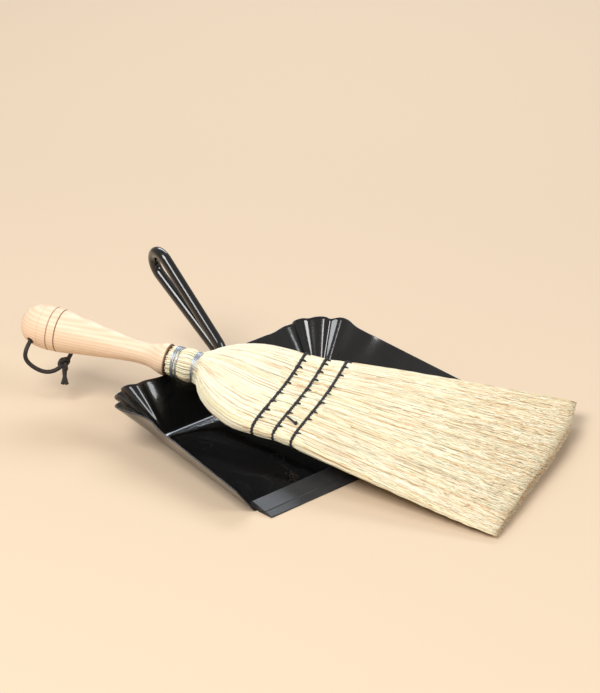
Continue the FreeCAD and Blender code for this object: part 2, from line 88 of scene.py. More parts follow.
# ---- material helpers -----------------------------------------------------------------------
def node(tree, kind, props=None, **values):
    """Adds a shader node; i0, i1... are inputs by number, other names are inputs by name."""
    made = tree.nodes.new("ShaderNode" + kind)
    for key, value in (props or {}).items():
        setattr(made, key, value)
    for key, value in values.items():
        numbered = key[0] == "i" and key[1:].isdigit()
        socket = made.inputs[int(key[1:])] if numbered else made.inputs[key.replace("_", " ")]
        if isinstance(value, bpy.types.NodeSocket):
            tree.links.new(value, socket)
        else:
            socket.default_value = value
    return made


def math_node(tree, operation, a, b=0.0, clamp=False):
    return node(tree, "Math", {"operation": operation, "use_clamp": clamp}, i0=a, i1=b).outputs[0]


def ramp(tree, factor, stops, mode="LINEAR"):
    made = node(tree, "ValToRGB", i0=factor)
    band = made.color_ramp
    band.interpolation = mode
    while len(band.elements) < len(stops):
        band.elements.new(0.5)
    for element, (position, colour) in zip(band.elements, stops):
        element.position = position
        element.color = (*colour, 1.0)
    return made.outputs[0]


def mix(tree, factor, a, b, blend="MIX"):
    made = node(tree, "Mix", {"data_type": "RGBA", "blend_type": blend})
    for socket, value in ((made.inputs[0], factor), (made.inputs[6], a), (made.inputs[7], b)):
        if isinstance(value, bpy.types.NodeSocket):
            tree.links.new(value, socket)
        elif isinstance(value, tuple):
            socket.default_value = (*value, 1.0)
        else:
            socket.default_value = value
    return made.outputs[2]


def noise(tree, vector, scale, detail=2.0, rough=0.5):
    return node(tree, "TexNoise", i0=vector, Scale=scale, Detail=detail,
                Roughness=rough).outputs[0]


def stretch(tree, vector, scale):
    return node(tree, "Mapping", i0=vector, Scale=scale).outputs[0]


def attribute(tree, name):
    return node(tree, "Attribute", {"attribute_name": name}).outputs["Vector"]


def bump(tree, height, distance, strength=1.0, below=None):
    made = node(tree, "Bump", Height=height, Distance=distance, Strength=strength)
    if below is not None:
        tree.links.new(below, made.inputs["Normal"])
    return made.outputs[0]


def material(name, **settings):
    """A principled material; keyword names are its sockets, with _ for spaces."""
    made = bpy.data.materials.new(name)
    made.use_nodes = True
    tree = made.node_tree
    shader = tree.nodes["Principled BSDF"]
    for key, value in settings.items():
        shader.inputs[key.replace("_", " ")].default_value = value
    return made, tree, shader


def connect(tree, shader, **sockets):
    for key, value in sockets.items():
        tree.links.new(value, shader.inputs[key.replace("_", " ")])


def object_coords(tree):
    return node(tree, "TexCoord").outputs["Object"]


# ---- materials --------------------------------------------------------------------------------
def make_enamel():
    made, tree, shader = material("black_enamel", Coat_Weight=0.6, Coat_Roughness=0.03,
                                  Specular_IOR_Level=0.5)
    where = object_coords(tree)
    dust = noise(tree, where, 55.0, 6.0, 0.62)
    colour = mix(tree, math_node(tree, "MULTIPLY", dust, 0.5),
                 (0.0022, 0.0023, 0.0028), (0.0075, 0.0075, 0.008))
    specks = ramp(tree, noise(tree, where, 2400.0, 1.0), [(0.76, (0, 0, 0)), (0.81, (1, 1, 1))])
    colour = mix(tree, math_node(tree, "MULTIPLY", specks, 0.07), colour, (0.30, 0.27, 0.23))
    rough = node(tree, "MapRange", Value=dust, To_Min=0.11, To_Max=0.24).outputs[0]
    wobble = bump(tree, noise(tree, where, 14.0, 1.5), 0.0010, 0.7)
    peel = bump(tree, noise(tree, where, 420.0, 2.0), 0.00006, 0.6, wobble)
    connect(tree, shader, Base_Color=colour, Roughness=rough, Normal=peel)
    tree.links.new(peel, shader.inputs["Coat Normal"])
    return made


def make_rubber():
    made, tree, shader = material("grey_rubber", Specular_IOR_Level=0.42)
    where = object_coords(tree)
    drawn = noise(tree, stretch(tree, where, (30.0, 900.0, 900.0)), 1.0, 3.0)
    blotch = noise(tree, where, 60.0, 4.0, 0.6)
    colour = mix(tree, blotch, (0.018, 0.0185, 0.020), (0.042, 0.043, 0.046))
    dust = ramp(tree, noise(tree, where, 900.0, 2.0), [(0.66, (0, 0, 0)), (0.78, (1, 1, 1))])
    colour = mix(tree, math_node(tree, "MULTIPLY", dust, 0.22), colour, (0.25, 0.23, 0.20))
    rough = node(tree, "MapRange", Value=blotch, To_Min=0.33, To_Max=0.52).outputs[0]
    lines = bump(tree, drawn, 0.00012, 0.6)
    grain = bump(tree, noise(tree, where, 3000.0, 1.0), 0.00003, 0.5, lines)
    connect(tree, shader, Base_Color=colour, Roughness=rough, Normal=grain)
    return made


GROOVES = (15.5, 23.6, 30.4)            # millimetres from the knob
BURN_STRENGTH = (0.10, 0.62, 0.85)      # how dark each groove is burnt
BEAD_END = 122.6                        # the scorched end of the turned bead


def make_wood():
    """Pale beech; the attribute place holds millimetres along, level and up from the knob."""
    made, tree, shader = material("beech", Specular_IOR_Level=0.35)
    place = attribute(tree, "place")
    split = node(tree, "SeparateXYZ", i0=place)
    warp = noise(tree, stretch(tree, place, (0.012, 0.05, 0.05)), 1.0, 2.0)
    bands = node(tree, "TexWave", {"wave_type": "BANDS", "bands_direction": "Z"},
                 i0=stretch(tree, place, (0.004, 0.05, 0.10)), Scale=1.2, Distortion=2.2,
                 Detail=3.0, Detail_Scale=1.4).outputs[1]
    fibre = noise(tree, stretch(tree, place, (0.05, 1.7, 1.7)), 1.0, 4.0, 0.6)
    colour = mix(tree, bands, (0.86, 0.66, 0.47), (0.74, 0.51, 0.33))
    colour = mix(tree, math_node(tree, "MULTIPLY", fibre, 0.5), colour, (0.90, 0.75, 0.60))
    flecks = ramp(tree, noise(tree, stretch(tree, place, (0.42, 3.4, 3.4)), 1.0, 2.0, 0.7),
                  [(0.63, (0, 0, 0)), (0.72, (1, 1, 1))])
    colour = mix(tree, math_node(tree, "MULTIPLY", flecks, 0.55), colour, (0.42, 0.22, 0.11))
    colour = mix(tree, math_node(tree, "MULTIPLY", warp, 0.25), colour, (0.70, 0.40, 0.24))
    for at, strength in zip(GROOVES, BURN_STRENGTH):
        away = math_node(tree, "ABSOLUTE", math_node(tree, "SUBTRACT", split.outputs[0], at))
        burn = node(tree, "MapRange", Value=away, From_Min=0.25, From_Max=0.75,
                    To_Min=strength, To_Max=0.0).outputs[0]
        colour = mix(tree, burn, colour, (0.13, 0.045, 0.018))
    edge = node(tree, "MapRange", Value=split.outputs[0], From_Min=BEAD_END - 1.4,
                From_Max=BEAD_END - 0.4, To_Min=0.0, To_Max=0.9).outputs[0]
    colour = mix(tree, edge, colour, (0.12, 0.045, 0.02))
    rough = node(tree, "MapRange", Value=fibre, To_Min=0.34, To_Max=0.52).outputs[0]
    pores = bump(tree, flecks, 0.00008, 0.35)
    grain = bump(tree, fibre, 0.0001, 0.35, pores)
    connect(tree, shader, Base_Color=colour, Roughness=rough, Normal=grain)
    return made


def make_straw(name, shades, brown):
    """Dry straw; the attribute fibre holds a random number, metres along and the width across."""
    made, tree, shader = material(name, Specular_IOR_Level=0.4, Sheen_Weight=0.08)
    fibre = attribute(tree, "fibre")
    split = node(tree, "SeparateXYZ", i0=fibre)
    tone = ramp(tree, split.outputs[0], shades)
    streak = noise(tree, stretch(tree, fibre, (311.0, 26.0, 0.0)), 1.0, 3.0, 0.6)
    stain = node(tree, "MapRange", Value=streak, From_Min=0.52, From_Max=0.72,
                 To_Min=0.0, To_Max=brown).outputs[0]
    colour = mix(tree, stain, tone, (0.50, 0.22, 0.075))
    lines = noise(tree, stretch(tree, fibre, (97.0, 9.0, 2600.0)), 1.0, 3.0, 0.6)
    colour = mix(tree, node(tree, "MapRange", Value=lines, From_Min=0.35, From_Max=0.75, To_Min=0.0,
                            To_Max=0.30).outputs[0], colour, (0.34, 0.22, 0.09))
    rough = node(tree, "MapRange", Value=lines, To_Min=0.38, To_Max=0.62).outputs[0]
    connect(tree, shader, Base_Color=colour, Roughness=rough,
            Normal=bump(tree, lines, 0.00018, 0.6))
    return made


def make_wire():
    made, tree, shader = material("galvanised_wire", Metallic=0.85)
    where = object_coords(tree)
    patch = noise(tree, where, 260.0, 4.0, 0.65)
    colour = mix(tree, patch, (0.34, 0.38, 0.43), (0.62, 0.66, 0.71))
    rough = node(tree, "MapRange", Value=patch, To_Min=0.50, To_Max=0.30).outputs[0]
    connect(tree, shader, Base_Color=colour, Roughness=rough,
            Normal=bump(tree, noise(tree, where, 1500.0), 0.00005, 0.6))
    return made


def make_twine():
    made, tree, shader = material("black_twine", Specular_IOR_Level=0.35)
    fibre = attribute(tree, "fibre")
    hairs = noise(tree, stretch(tree, fibre, (50.0, 900.0, 5200.0)), 1.0, 3.0, 0.7)
    colour = mix(tree, hairs, (0.010, 0.010, 0.012), (0.040, 0.040, 0.046))
    connect(tree, shader, Base_Color=colour,
            Roughness=node(tree, "MapRange", Value=hairs, To_Min=0.45, To_Max=0.8).outputs[0],
            Normal=bump(tree, hairs, 0.0002, 0.8))
    return made


def make_leather():
    made, tree, shader = material("black_leather", Specular_IOR_Level=0.4)
    where = object_coords(tree)
    pores = node(tree, "TexVoronoi", i0=where, Scale=1500.0).outputs[0]
    wear = noise(tree, where, 300.0, 4.0, 0.7)
    colour = mix(tree, wear, (0.008, 0.007, 0.007), (0.035, 0.029, 0.025))
    connect(tree, shader, Base_Color=colour,
            Roughness=node(tree, "MapRange", Value=wear, To_Min=0.42, To_Max=0.72).outputs[0],
            Normal=bump(tree, pores, 0.00010, 0.7))
    return made


STALK_SHADES = [(0.0, (0.91, 0.88, 0.73)), (0.35, (0.89, 0.85, 0.65)), (0.6, (0.84, 0.82, 0.57)),
                (0.82, (0.87, 0.79, 0.56)), (0.95, (0.80, 0.64, 0.40)), (1.0, (0.62, 0.38, 0.18))]
TIP_SHADES = [(0.0, (0.90, 0.82, 0.63)), (0.35, (0.86, 0.73, 0.50)), (0.65, (0.82, 0.66, 0.42)),
              (0.88, (0.72, 0.49, 0.26)), (1.0, (0.48, 0.27, 0.11))]
# the bed straw's darker tones are painted shade for the gaps between the strands; its brown streaks are
# the straw's own
BED_PAINTED_SHADE_TONES = [(0.0, (0.70, 0.60, 0.38)), (0.5, (0.58, 0.45, 0.24)), (1.0, (0.42, 0.27, 0.12))]
enamel = make_enamel()
rubber = make_rubber()
beech = make_wood()
stalk_straw = make_straw("straw_stalks", STALK_SHADES, 0.75)
tip_straw = make_straw("straw_tips", TIP_SHADES, 0.6)
# darker bed straw: painted shade between the strands
bed_straw_painted_shade = make_straw("straw_bed_painted_shade", BED_PAINTED_SHADE_TONES, 0.4)
wire_metal = make_wire()
twine_black = make_twine()
leather = make_leather()


# ---- mesh helpers ---------------------------------------------------------------------------------
def mesh_piece(name, points, faces, finish, body, vectors=None, smooth=True):
    """A piece from points in millimetres and equal-sided face arrays; vectors are attributes."""
    mesh = bpy.data.meshes.new(name)
    mesh.vertices.add(len(points))
    mesh.vertices.foreach_set("co", (np.asarray(points, float) * MM).ravel())
    groups = [np.asarray(group, int) for group in faces]
    sizes = np.concatenate([np.full(len(g), g.shape[1]) for g in groups])
    loops = np.concatenate([g.ravel() for g in groups])
    mesh.loops.add(len(loops))
    mesh.loops.foreach_set("vertex_index", loops)
    mesh.polygons.add(len(sizes))
    mesh.polygons.foreach_set("loop_start", np.concatenate([[0], np.cumsum(sizes)[:-1]]))
    mesh.polygons.foreach_set("use_smooth", np.full(len(sizes), smooth))
    mesh.update(calc_edges=True)
    mesh.validate()
    for key, value in (vectors or {}).items():
        layer = mesh.attributes.new(key, "FLOAT_VECTOR", "POINT")
        layer.data.foreach_set("vector", np.asarray(value, float).ravel())
    mesh.materials.append(finish)
    piece = bpy.data.objects.new(name, mesh)
    bpy.context.scene.collection.objects.link(piece)
    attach(piece, body)
    return piece


def grid_faces(rows, columns, wrap_columns=False, wrap_rows=False, offset=0):
    """Quads of a grid of points stored row by row."""
    r = np.arange(rows if wrap_rows else rows - 1)
    c = np.arange(columns if wrap_columns else columns - 1)
    r, c = np.meshgrid(r, c, indexing="ij")
    r2 = (r + 1) % rows
    c2 = (c + 1) % columns
    quads = np.stack([r * columns + c, r * columns + c2, r2 * columns + c2, r2 * columns + c], -1)
    return quads.reshape(-1, 4) + offset


def unit(vectors):
    return vectors / np.maximum(np.linalg.norm(vectors, axis=-1, keepdims=True), 1e-9)


def smooth_table(x, knots, values):
    """A smooth curve through a table, with no overshoot."""
    knots = np.asarray(knots, float)
    values = np.asarray(values, float)
    step = np.diff(knots)
    slope = np.diff(values) / step
    tangent = np.zeros(len(knots))
    inner = slope[:-1] * slope[1:] > 0
    tangent[1:-1][inner] = 2 * (slope[:-1] * slope[1:])[inner] / (slope[:-1] + slope[1:])[inner]
    tangent[0] = slope[0]
    tangent[-1] = slope[-1]
    x = np.clip(x, knots[0], knots[-1])
    k = np.clip(np.searchsorted(knots, x, side="right") - 1, 0, len(knots) - 2)
    t = (x - knots[k]) / step[k]
    return (values[k] * (1 + 2 * t) * (1 - t) ** 2 + tangent[k] * step[k] * t * (1 - t) ** 2
            + values[k + 1] * t * t * (3 - 2 * t) + tangent[k + 1] * step[k] * t * t * (t - 1))


def strands(paths, outward, half_width, half_thick, sides, tone):
    """Many closed tapering strands at once.

    paths is strands x points x 3, outward the same, half_width and half_thick strands x points.
    Gives points, faces and the fibre attribute.
    """
    count, length, _ = paths.shape
    along = unit(np.gradient(paths, axis=1))
    side = unit(np.cross(outward, along))
    up = np.cross(along, side)
    turn = np.arange(sides) * 2 * math.pi / sides + math.pi / 2
    ring = (side[:, :, None] * (half_width[..., None, None] * np.cos(turn)[None, None, :, None])
            + up[:, :, None] * (half_thick[..., None, None] * np.sin(turn)[None, None, :, None]))
    points = (paths[:, :, None] + ring).reshape(-1, 3)
    one = grid_faces(length, sides, wrap_columns=True)
    starts = np.arange(count) * length * sides
    faces = (one[None] + starts[:, None, None]).reshape(-1, 4)
    caps = [np.arange(sides)[::-1] + starts[:, None],
            np.arange(sides) + (length - 1) * sides + starts[:, None]]
    run = np.cumsum(np.linalg.norm(np.diff(paths, axis=1, prepend=paths[:, :1]), axis=-1), axis=1)
    fibre = np.zeros((count, length, sides, 3))
    fibre[..., 0] = tone[:, None, None]
    fibre[..., 1] = run[..., None] * MM
    fibre[..., 2] = half_width[..., None] * np.cos(turn) * MM
    return points, [faces] + caps, fibre.reshape(-1, 3)


def tube(path, radius, sides=10, closed=False, tone=0.5):
    """A round tube along a path, with frames carried along so that it never twists."""
    path = np.asarray(path, float)
    count = len(path)
    if closed:
        along = unit(np.roll(path, -1, 0) - np.roll(path, 1, 0))
    else:
        along = unit(np.gradient(path, axis=0))
    side = np.zeros_like(path)
    guess = np.cross(along[0], (0.31, 0.22, 0.92))
    for i in range(count):
        guess = guess - along[i] * guess.dot(along[i])
        guess = guess / np.linalg.norm(guess)
        side[i] = guess
    up = np.cross(along, side)
    radius = np.broadcast_to(radius, (count,))
    turn = np.arange(sides) * 2 * math.pi / sides
    points = path[:, None] + radius[:, None, None] * (
        side[:, None] * np.cos(turn)[None, :, None] + up[:, None] * np.sin(turn)[None, :, None])
    faces = [grid_faces(count, sides, wrap_columns=True, wrap_rows=closed)]
    if not closed:
        faces += [np.arange(sides)[::-1][None], (np.arange(sides) + (count - 1) * sides)[None]]
    run = np.cumsum(np.linalg.norm(np.diff(path, axis=0, prepend=path[:1]), axis=1))
    fibre = np.zeros((count, sides, 3))
    fibre[..., 0] = tone
    fibre[..., 1] = run[:, None] * MM
    fibre[..., 2] = turn * radius[:, None] * MM
    return points.reshape(-1, 3), faces, fibre.reshape(-1, 3)


def joined(parts):
    """Joins several (points, faces, attribute) sets into one."""
    points, faces, extra = [], [], []
    base = 0
    for p, f, e in parts:
        points.append(p)
        extra.append(e)
        faces += [np.asarray(group, int) + base for group in f]
        base += len(p)
    return np.concatenate(points), faces, np.concatenate(extra)


# ---- hanging thong: a free leather cord -----------------------------------------------------------
THONG_DIAMETER = 3.4
THONG_ROUTE = [(9.8, -8.9, -6.2), (9.8, -22.5, -11.1), (10.2, -22.2, -23.7), (27.0, -15.4, -33.1),
               (37.0, -2.3, -25.7), (33.0, 20.7, -17.6), (19.0, 30.4, -7.7), (9.8, 25.3, 6.2),
               (9.8, 12.3, 1.5)]


def route_curve(name, points, diameter, finish):
    curve = bpy.data.curves.new(name, "CURVE")
    curve.dimensions = "3D"
    spline = curve.splines.new("NURBS")
    spline.points.add(len(points) - 1)
    for place, point in zip(spline.points, points):
        place.co = (*(np.asarray(point) * MM), 1.0)
    spline.order_u = 3
    spline.use_endpoint_u = True
    spline.resolution_u = 16
    curve.bevel_depth = diameter / 2 * MM
    curve.bevel_resolution = 6
    curve.use_fill_caps = True
    curve.materials.append(finish)
    piece = bpy.data.objects.new(name, curve)
    bpy.context.scene.collection.objects.link(piece)
    return piece


thong = route_curve("leather_thong", on_handle(THONG_ROUTE), THONG_DIAMETER, leather)
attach(thong, "broom")
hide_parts("hanging_thong")

KNOT_AT = np.array([35.4, -4.0, -25.6])
TAIL_ENDS = ((2.0, -5.4, -15.6), (5.6, -4.4, -15.2))    # from the knot
TAIL_SWAYS = (1.1, -0.9)


def thong_knot():
    """An overhand knot, drawn as a trefoil, with the thong's two cut tails."""
    lap = np.linspace(0, FULL_TURN, 90, endpoint=False)
    trefoil = np.stack([(np.cos(lap) - 2 * np.cos(2 * lap)) * 1.25, -np.sin(3 * lap) * 1.9,
                        (np.sin(lap) + 2 * np.sin(2 * lap)) * 1.75], axis=1)
    shapes = [tube(on_handle(KNOT_AT + trefoil), 1.6, 12, closed=True)]
    t = np.linspace(0, 1, 16)[:, None]
    for end, sway in zip(TAIL_ENDS, TAIL_SWAYS):
        curve = np.array(end) * t + np.array([1.0, 0.6, 0.0]) * np.sin(t * math.pi) * sway
        shapes.append(tube(on_handle(KNOT_AT + curve), 1.55, 12))
    points, faces, fibre = joined(shapes)
    piece = mesh_piece("thong_knot_and_tails", points, faces, leather, "broom",
                       {"fibre": fibre})
    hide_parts("thong_knot")
    return piece


knot = thong_knot()


# ---- finishes of the CAD nodes that are shown as they are ------------------------------------------
def dress(name, finish):
    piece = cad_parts[name]
    for slot in piece.material_slots:
        slot.material = finish
    return piece


dress("handle_welds", enamel)
dress("lip_strip", rubber)


# ---- pan shell: one folded sheet with fluted corners ------------------------------------------------
SHEET = 0.8
REAR_FOOT_Y = 61.2
REAR_FOOT_HALF = 85.8
FRONT_Y = -78.5
FRONT_HALF = 113.3
FOOT_RADIUS = 17.0
REAR_TOP = (86.9, 35.4)
SIDE_TOP = np.array((115.6, 42.2, 35.6))
SIDE_KINK = np.array((127.2, -75.1, 19.4))
RIM_CORNER = [(115.6, 42.2), (116.6, 49.0), (119.2, 57.0), (121.0, 64.5), (119.6, 69.8),
              (115.2, 71.6), (111.4, 73.4), (111.4, 78.2), (108.4, 82.8), (103.2, 85.2),
              (99.2, 86.4), (96.4, 89.6), (92.0, 91.2), (87.2, 90.6), (83.4, 88.4),
              (79.6, 88.4), (74.8, 89.0), (68.4, 88.0), (62.0, 86.9)]
FLUTE_RISE = 1.0
SIDE_STEPS = 6
REAR_STEPS = 8
FOLD = 2.4              # size of the rounded fold between floor and walls
FOLD_STEPS = 7
WALL_STEPS = 21
FINE_STEPS = 9          # mesh lines from one outline point to the next
# the floor's front edge steps up into the lip strip
STEP_PROFILE = [(FRONT_Y + 2.0, 0.02), (FRONT_Y - 0.6, 0.02), (FRONT_Y - 2.6, 1.2), (-87.0, 1.2),
                (-87.0, 2.0), (FRONT_Y - 2.4, 2.0), (FRONT_Y - 0.4, SHEET), (FRONT_Y + 2.0, SHEET)]
STEP_HALF = 110.5
STEP_LINES = 5


def cubic(points, knots, at):
    """A smooth line through points at the given knots, read at other places."""
    points = np.asarray(points, float)
    h = np.diff(knots)
    n = len(points)
    system = np.eye(n)
    right = np.zeros_like(points)
    for i in range(1, n - 1):
        system[i, i - 1:i + 2] = h[i - 1] / 6, (h[i - 1] + h[i]) / 3, h[i] / 6
        right[i] = (points[i + 1] - points[i]) / h[i] - (points[i] - points[i - 1]) / h[i - 1]
    bend = np.linalg.solve(system, right)
    k = np.clip(np.searchsorted(knots, at, side="right") - 1, 0, n - 2)
    a = ((knots[k + 1] - at) / h[k])[:, None]
    b = 1 - a
    square = (h[k] ** 2)[:, None] / 6
    return (a * points[k] + b * points[k + 1]
            + ((a ** 3 - a) * bend[k] + (b ** 3 - b) * bend[k + 1]) * square)


def foot_arc(t):
    """The floor's rounded corner, from the side line at 0 to the rear line at 1."""
    side = unit(np.array((REAR_FOOT_HALF - FRONT_HALF, REAR_FOOT_Y - FRONT_Y)))
    turn = math.acos(-side[0])
    start = np.array((REAR_FOOT_HALF, REAR_FOOT_Y)) - side * FOOT_RADIUS * math.tan(turn / 2)
    centre = start + FOOT_RADIUS * np.array((-side[1], side[0]))
    first = math.atan2(start[1] - centre[1], start[0] - centre[0])
    angle = first + t * (math.pi / 2 - first)
    return centre[0] + FOOT_RADIUS * math.cos(angle), centre[1] + FOOT_RADIUS * math.sin(angle)


def shell_lines():
    """Foot and rim of the whole pan, from the right front end round to the left one."""
    foot, rim = [], []
    start = foot_arc(0.0)
    for t in np.arange(SIDE_STEPS) / SIDE_STEPS:
        foot.append((FRONT_HALF + (start[0] - FRONT_HALF) * t,
                     FRONT_Y + (start[1] - FRONT_Y) * t, SHEET))
        rim.append(tuple(SIDE_KINK + (SIDE_TOP - SIDE_KINK) * t))
    lengths = [math.dist(a, b) for a, b in zip(RIM_CORNER, RIM_CORNER[1:])]
    for i, (x, y) in enumerate(RIM_CORNER):
        t = sum(lengths[:i]) / sum(lengths)
        foot.append((*foot_arc(t), SHEET))
        rise = FLUTE_RISE * math.sin(math.pi * t) + (REAR_TOP[1] - SIDE_TOP[2]) * t
        rim.append((x, y, SIDE_TOP[2] + rise))
    foot_x, rim_x = foot[-1][0], rim[-1][0]
    for t in np.arange(1, REAR_STEPS + 1) / REAR_STEPS:
        foot.append((foot_x * (1 - t), REAR_FOOT_Y, SHEET))
        rim.append((rim_x * (1 - t), *REAR_TOP))
    mirror = np.array((-1, 1, 1))
    return [np.concatenate([line, (np.array(line[:-1]) * mirror)[::-1]]) for line in (foot, rim)]


def pan_shell():
    """The folded sheet: its inner face, a rounded top edge and its outer face, and the front step."""
    foot, rim = shell_lines()
    steps = sum(np.linalg.norm(np.diff(line, axis=0), axis=1) for line in (foot, rim))
    knots = np.concatenate([[0], np.cumsum(steps / 2)])
    at = np.unique(np.concatenate([np.linspace(a, b, FINE_STEPS) for a, b in zip(knots, knots[1:])]))
    foot = cubic(foot, knots, at)
    rim = cubic(rim, knots, at)
    count = len(at)
    up = unit(rim - foot)
    tangent = unit(np.gradient(foot, axis=0) * (1, 1, 0))
    inward = np.stack([-tangent[:, 1], tangent[:, 0], 0 * at], axis=1)
    fold = [foot + inward * FOLD * (1 - t) ** 2 + up * FOLD * t ** 2
            for t in np.linspace(0, 1, FOLD_STEPS)]
    start = foot + up * FOLD
    wall = [start + (rim - start) * t for t in np.linspace(0, 1, WALL_STEPS + 1)[1:]]
    inner = np.stack(fold + wall, axis=1)
    rows = inner.shape[1]
    along = np.gradient(inner, axis=0)
    climb = np.gradient(inner, axis=1)
    out = unit(np.cross(along, climb))
    out = np.where(out[..., 2:] > 0, -out, out)
    outer = inner + out * SHEET
    edge = [inner[:, -1] + out[:, -1] * SHEET * f + up * SHEET * g
            for f, g in ((0.15, 0.3), (0.5, 0.45), (0.85, 0.3))]
    across = np.concatenate([inner, np.stack(edge, axis=1), outer[:, ::-1]], axis=1)
    columns = across.shape[1]
    sheet = grid_faces(count, columns)
    inside = np.arange(count) * columns
    outside = inside + columns - 1
    ends = []
    for row in (0, count - 1):
        left = row * columns + np.arange(rows)
        right = row * columns + columns - 1 - np.arange(rows)
        ends.append(np.stack([left[:-1], left[1:], right[1:], right[:-1]], axis=1))
    front = np.array([[inside[0], outside[0], outside[-1], inside[-1]]])
    points = across.reshape(-1, 3)
    tray = (points, [sheet, inside[None, ::-1], outside[None], *ends, front], np.zeros_like(points))
    sides = len(STEP_PROFILE)
    strip = np.array([(x, y, z) for x in np.linspace(-STEP_HALF, STEP_HALF, STEP_LINES)
                      for y, z in STEP_PROFILE])
    strip_faces = [grid_faces(STEP_LINES, sides, wrap_columns=True), np.arange(sides)[None, ::-1],
                   (np.arange(sides) + (STEP_LINES - 1) * sides)[None]]
    points, faces, _ = joined([tray, (strip, strip_faces, np.zeros_like(strip))])
    piece = mesh_piece("folded_pan_sheet", points, faces, enamel, "pan")
    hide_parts("pan_shell")


pan_shell()

# ---- handle loop of the pan: one bent rod ------------------------------------------------------------
ROD = 9.3
LOOP_X = 11.2
LEG_GAP = 9.4
LOOP_RADIUS = 12.5
LOOP_LENGTH = 81.0
LEG_ENDS = ((33.0, 20.0), (24.0, 10.0))     # each leg's length down the wall and its bend's radius
LOOP_TILT = math.radians(37.3)
LOOP_ROLL = math.radians(105.0)
BEND_UP = 7.7


def bent(points, radii, steps=12):
    """Straight runs joined by tangent arcs, as points along the way."""
    path = [points[0]]
    for before, corner, after, radius in zip(points, points[1:], points[2:], radii):
        back = unit(before - corner)
        ahead = unit(after - corner)
        half = (math.pi - math.acos(back.dot(ahead))) / 2
        start = corner + back * radius * math.tan(half)
        middle = corner + unit(back + ahead) * radius / math.cos(half)
        spoke = start - middle
        spin = unit(np.cross(-back, ahead))
        for t in np.linspace(0, 2 * half, steps):
            path.append(middle + spoke * math.cos(t) + np.cross(spin, spoke) * math.sin(t))
    return np.array(path + [points[-1]])


def loop_path():
    """The rod's middle line: up the wall, round the loop's end, and back down the wall."""
    lean = math.atan2(REAR_TOP[0] - REAR_FOOT_Y, REAR_TOP[1])
    wall_up = np.array((0, math.sin(lean), math.cos(lean)))
    wall_out = np.array((0, math.cos(lean), -math.sin(lean)))
    forward = np.array((0, math.cos(LOOP_TILT), math.sin(LOOP_TILT)))
    across = np.array((math.cos(LOOP_ROLL), -math.sin(LOOP_TILT) * math.sin(LOOP_ROLL),
                       math.cos(LOOP_TILT) * math.sin(LOOP_ROLL)))
    sideways = LEG_GAP / 2 * math.cos(LOOP_ROLL)
    wall = np.array((LOOP_X, *REAR_TOP)) + wall_out * (SHEET + ROD / 2 + 0.05)
    upper = wall + wall_up * BEND_UP + (sideways, 0, 0)
    half_turn = (math.pi / 2 - lean - LOOP_TILT) / 2
    halving = unit(wall_up + forward)
    nest = np.array((0, halving[2], -halving[1])) * LEG_GAP * math.sin(LOOP_ROLL)
    lower = upper + nest / math.cos(half_turn) - (2 * sideways, 0, 0)
    centre = (upper + lower) / 2 + forward * LOOP_LENGTH
    opening = math.asin((LOOP_RADIUS - LEG_GAP / 2) / LOOP_LENGTH)
    legs = []
    for knee, side, (down, radius) in zip((upper, lower), (1, -1), LEG_ENDS):
        touch = centre + across * side * LOOP_RADIUS * math.cos(opening) \
            - forward * LOOP_RADIUS * math.sin(opening)
        legs.append(bent(np.array([knee - wall_up * down, knee, touch]), [radius]))
    turn = np.linspace(math.pi / 2 + opening, -math.pi / 2 - opening, 60)[1:-1, None]
    end = centre + LOOP_RADIUS * (np.cos(turn) * forward + np.sin(turn) * across)
    return np.concatenate([legs[0], end, legs[1][::-1]])


def filled_in(path, spacing):
    """The same way with points added along its long straight runs."""
    result = []
    for a, b in zip(path, path[1:]):
        count = max(int(np.linalg.norm(b - a) / spacing), 1)
        result += [a + (b - a) * k / count for k in range(count)]
    return np.array(result + [path[-1]])


rod_points, rod_faces, rod_extra = tube(filled_in(loop_path(), 3.0), ROD / 2, 48)
rod = mesh_piece("bent_rod_loop", rod_points, rod_faces, enamel, "pan")
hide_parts("handle_loop")


# ---- wooden handle ------------------------------------------------------------------------------

def wood_vectors(piece):
    """Stores each point's place along and across the handle, in millimetres."""
    co = np.empty(len(piece.data.vertices) * 3)
    piece.data.vertices.foreach_get("co", co)
    place = (co.reshape(-1, 3) / MM - KNOB) @ HANDLE_AXES.T
    layer = piece.data.attributes.new("place", "FLOAT_VECTOR", "POINT")
    layer.data.foreach_set("vector", place.ravel())


turned = dress("wooden_handle", beech)
wood_vectors(turned)

# ---- straw head ------------------------------------------------------------------------------------
ROUNDNESS = 2.6
# distance from the neck, half width, sideways shift, half thickness
HEAD = np.array([(-4.0, 10.9, 0.0, 10.9), (0.0, 11.2, 0.0, 11.0), (3.0, 14.2, 0.5, 11.8),
                 (8.0, 25.5, 2.2, 12.8), (20.0, 41.6, 1.8, 13.8), (36.0, 53.6, 0.0, 13.7),
                 (55.0, 60.0, -2.5, 12.5), (70.0, 61.5, -2.5, 11.2), (86.0, 62.5, -1.5, 10.4),
                 (101.0, 66.0, 0.0, 10.0), (140.0, 76.0, 0.0, 9.4), (190.0, 87.5, 0.0, 8.2),
                 (235.0, 98.0, 0.0, 6.8), (290.0, 108.0, -0.5, 5.6)])
ROWS = (67.6, 84.4, 99.8)
ROW_SKEW = -0.02
ROW_BOW = 4.6           # how far a row bows towards the tips in its middle
ROW_DENT = 1.0          # how deep a row pulls the straw in
GROUND = 0.35


def row_place(row, y, y_share):
    """Where along the head a row runs, at a sideways place."""
    return row + ROW_BOW * (1 - y_share ** 2) + ROW_SKEW * y


